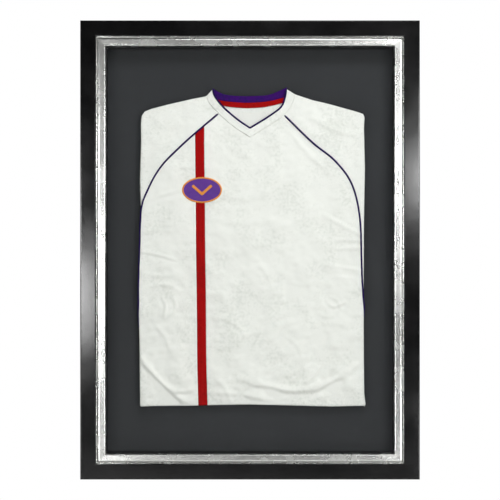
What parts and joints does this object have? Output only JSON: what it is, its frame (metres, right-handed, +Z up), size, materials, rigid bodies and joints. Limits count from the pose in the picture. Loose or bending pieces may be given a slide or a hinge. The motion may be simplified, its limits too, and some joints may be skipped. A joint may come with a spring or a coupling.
{
  "type": "jersey display frame",
  "caption": "Shallow wall frame with a gloss black moulding and silver slip, showing a folded V-neck sports shirt on a dark mount behind clear glazing.",
  "frame": {"origin": "on the wall plane, midway between the two D-ring hangers, at the height of the hooks that carry the raised rings", "axes": "+X to the right seen from the front, the front faces -Y and the wall is at +Y, +Z up"},
  "size_m": [0.588, 0.045, 0.795],
  "materials": {
    "black_gloss": "gloss black foil on a timber moulding",
    "silver_foil": "fine-grained silver foil on a timber slip",
    "clear_styrene": "clear, gloss both sides",
    "black_spacer": "matte black",
    "charcoal_board": "matte charcoal paper face",
    "brown_hardboard": "smooth brown hardboard",
    "white_foam": "matte foam board",
    "white_knit": "white polyester knit",
    "purple_rib": "purple rib and satin piping",
    "red_tape": "red knit tape",
    "badge_twill": "embroidered twill",
    "zinc_steel": "bright zinc plate",
    "black_rubber": "matte rubber"
  },
  "bodies": {
    "frame": {"outer_rail_top": "black_gloss", "outer_rail_bottom": "black_gloss", "outer_stile_left": "black_gloss", "outer_stile_right": "black_gloss", "slip_rail_top": "silver_foil", "slip_rail_bottom": "silver_foil", "slip_stile_left": "silver_foil", "slip_stile_right": "silver_foil", "frame_v_nails": "zinc_steel", "slip_v_nails": "zinc_steel", "turn_button_screws": "zinc_steel", "hanger_screws": "zinc_steel", "hanger_strap_left": "zinc_steel", "hanger_strap_right": "zinc_steel", "dress_pins": "zinc_steel", "glazing_sheet": "clear_styrene", "mount_board": "charcoal_board", "backing_board": "brown_hardboard", "spacer_rail_top": "black_spacer", "spacer_rail_bottom": "black_spacer", "spacer_stile_left": "black_spacer", "spacer_stile_right": "black_spacer", "shirt_former": "white_foam", "mounting_pads": "white_foam", "shirt_front_panel": "white_knit", "shirt_side_panel": "white_knit", "shirt_shoulder_left": "white_knit", "shirt_shoulder_right": "white_knit", "shirt_collar_front": "white_knit", "shirt_back_panel": "white_knit", "folded_sleeve_left": "white_knit", "folded_sleeve_right": "white_knit", "folded_side_left": "white_knit", "folded_side_right": "white_knit", "folded_hem": "white_knit", "collar_band_back": "purple_rib", "collar_piping": "purple_rib", "raglan_piping_left": "purple_rib", "raglan_piping_right": "purple_rib", "neck_tape": "red_tape", "front_stripe": "red_tape", "chest_badge": "badge_twill", "wall_bumpers": "black_rubber"},
    "turn_button_1": {"turn_button_1": "zinc_steel"},
    "turn_button_2": {"turn_button_2": "zinc_steel"},
    "turn_button_3": {"turn_button_3": "zinc_steel"},
    "turn_button_4": {"turn_button_4": "zinc_steel"},
    "turn_button_5": {"turn_button_5": "zinc_steel"},
    "turn_button_6": {"turn_button_6": "zinc_steel"},
    "turn_button_7": {"turn_button_7": "zinc_steel"},
    "turn_button_8": {"turn_button_8": "zinc_steel"},
    "hanger_ring_left": {"hanger_ring_left": "zinc_steel"},
    "hanger_ring_right": {"hanger_ring_right": "zinc_steel"}
  },
  "joints": [
    {"name": "turn_button_1_turn", "type": "hinge", "parent": "frame", "child": "turn_button_1", "pos_m": [-0.2836, -0.0043, 0.035], "axis": [0, 1, 0], "continuous": true},
    {"name": "turn_button_2_turn", "type": "hinge", "parent": "frame", "child": "turn_button_2", "pos_m": [-0.2836, -0.0043, -0.2625], "axis": [0, 1, 0], "continuous": true},
    {"name": "turn_button_3_turn", "type": "hinge", "parent": "frame", "child": "turn_button_3", "pos_m": [-0.2836, -0.0043, -0.56], "axis": [0, 1, 0], "continuous": true},
    {"name": "turn_button_4_turn", "type": "hinge", "parent": "frame", "child": "turn_button_4", "pos_m": [0.2836, -0.0043, 0.035], "axis": [0, 1, 0], "continuous": true},
    {"name": "turn_button_5_turn", "type": "hinge", "parent": "frame", "child": "turn_button_5", "pos_m": [0.2836, -0.0043, -0.2625], "axis": [0, 1, 0], "continuous": true},
    {"name": "turn_button_6_turn", "type": "hinge", "parent": "frame", "child": "turn_button_6", "pos_m": [0.2836, -0.0043, -0.56], "axis": [0, 1, 0], "continuous": true},
    {"name": "turn_button_7_turn", "type": "hinge", "parent": "frame", "child": "turn_button_7", "pos_m": [0, -0.0043, 0.1246], "axis": [0, 1, 0], "continuous": true},
    {"name": "turn_button_8_turn", "type": "hinge", "parent": "frame", "child": "turn_button_8", "pos_m": [0, -0.0043, -0.6496], "axis": [0, 1, 0], "continuous": true},
    {"name": "hanger_ring_left_swing", "type": "hinge", "parent": "frame", "child": "hanger_ring_left", "pos_m": [-0.2836, -0.0026, -0.0099], "axis": [1, 0, 0], "range_deg": [0, 180]},
    {"name": "hanger_ring_right_swing", "type": "hinge", "parent": "frame", "child": "hanger_ring_right", "pos_m": [0.2836, -0.0026, -0.0099], "axis": [1, 0, 0], "range_deg": [0, 180]}
  ]
}
